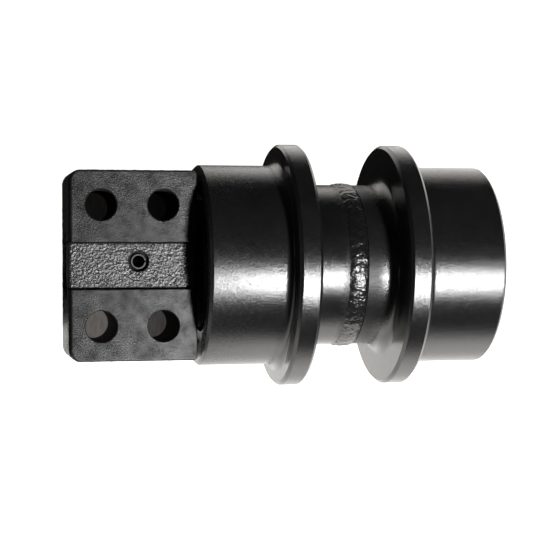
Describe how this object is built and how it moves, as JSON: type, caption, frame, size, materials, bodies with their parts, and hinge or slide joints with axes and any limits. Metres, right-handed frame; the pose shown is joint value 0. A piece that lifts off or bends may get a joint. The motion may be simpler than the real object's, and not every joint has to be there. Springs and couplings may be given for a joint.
{
  "type": "track roller",
  "caption": "One-sided track roller: a double-flanged welded roller on a fixed shaft, held by a bolt-on end bracket with a lock pin.",
  "frame": {"origin": "centre of the four bolt holes, on the plane of the bracket's machined pads", "axes": "+X along the axle from the bracket to the roller, +Z out of the pads"},
  "size_m": [0.423, 0.243, 0.243],
  "materials": {
    "roller_paint": "satin",
    "bracket_paint": "satin",
    "weld_paint": "satin",
    "cover_paint": "satin",
    "ground_steel": "ground",
    "spring_steel": "blackened",
    "bolt_steel": "blackened",
    "copper": "satin",
    "bronze": "machined",
    "seal_iron": "lapped",
    "rubber": "matte"
  },
  "bodies": {
    "bracket": {"end_bracket": "bracket_paint", "seal_collar": "cover_paint", "shaft": "ground_steel", "shaft_lock_pin": "spring_steel", "shaft_o_ring": "rubber", "fixed_seal_ring": "seal_iron", "fixed_toric_ring": "rubber", "retainer_plate": "ground_steel", "retainer_lock_washers": "bolt_steel", "retainer_bolts": "bolt_steel"},
    "roller": {"shell_left": "roller_paint", "shell_right": "roller_paint", "weld_bead": "weld_paint", "bush_left": "bronze", "bush_right": "bronze", "thrust_washer_left": "bronze", "thrust_washer_right": "bronze", "rotating_seal_ring": "seal_iron", "rotating_toric_ring": "rubber", "end_cover": "cover_paint", "cover_o_ring": "rubber", "cover_lock_washers": "bolt_steel", "cover_bolts": "bolt_steel", "fill_plug": "bolt_steel", "fill_plug_washer": "copper"}
  },
  "joints": [
    {"name": "roller_spin", "type": "hinge", "parent": "bracket", "child": "roller", "pos_m": [0.2145, 0, -0.047], "axis": [1, 0, 0], "continuous": true}
  ]
}
